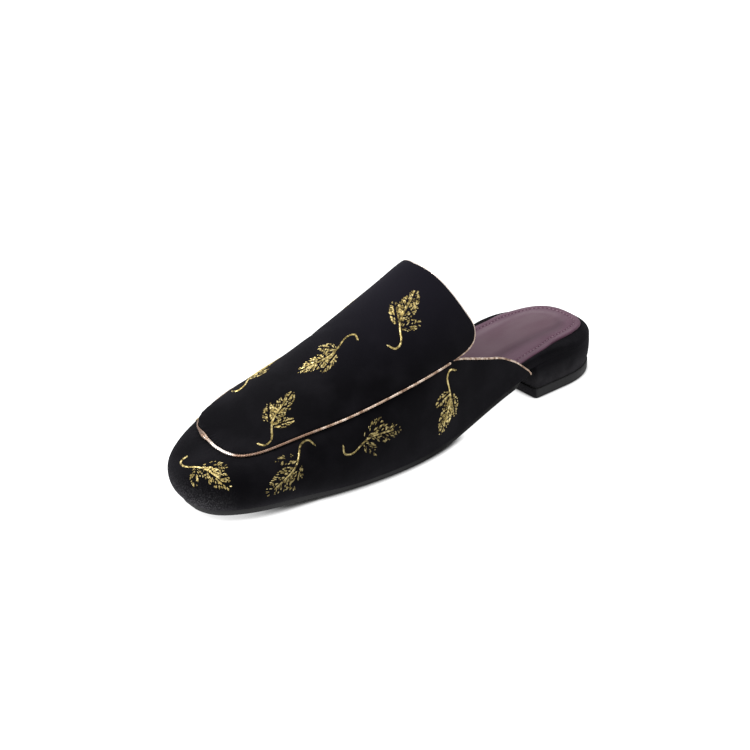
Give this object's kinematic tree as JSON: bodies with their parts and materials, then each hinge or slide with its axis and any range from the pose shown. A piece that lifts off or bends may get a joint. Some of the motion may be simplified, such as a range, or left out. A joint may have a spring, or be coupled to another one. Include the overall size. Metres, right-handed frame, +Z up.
{
  "type": "backless loafer",
  "caption": "Left backless loafer: hollow velvet upper with raised apron and metallic piping, leather insole, wrapped footbed, thin outsole and a low covered block heel.",
  "frame": {"origin": "on the floor, at the middle of the bounding box seen from above", "axes": "+Z up, +Y from toe to heel, +X to the outer (lateral) side of the left foot"},
  "size_m": [0.0784, 0.2504, 0.0853],
  "materials": {
    "velvet": "black cotton velvet with a short dense pile and a pale sheen at grazing angles",
    "insole_leather": "smooth aubergine leather, satin, with a line of fine perforated stitching inside its edge",
    "sole_rubber": "matte black rubber",
    "lift_rubber": "matte dark grey rubber",
    "piping": "champagne gold metallic leather piping, finely ribbed",
    "gold_thread": "gold metallic thread, woven in short broken floats",
    "lining": "black smooth leather lining"
  },
  "bodies": {
    "root": {"upper": "velvet", "footbed": "velvet", "heel_block": "velvet", "insole": "insole_leather", "outsole": "sole_rubber", "top_lift": "lift_rubber", "apron_piping": "piping", "throat_piping": "piping", "outer_wing_piping": "piping", "inner_wing_piping": "piping"}
  },
  "joints": []
}
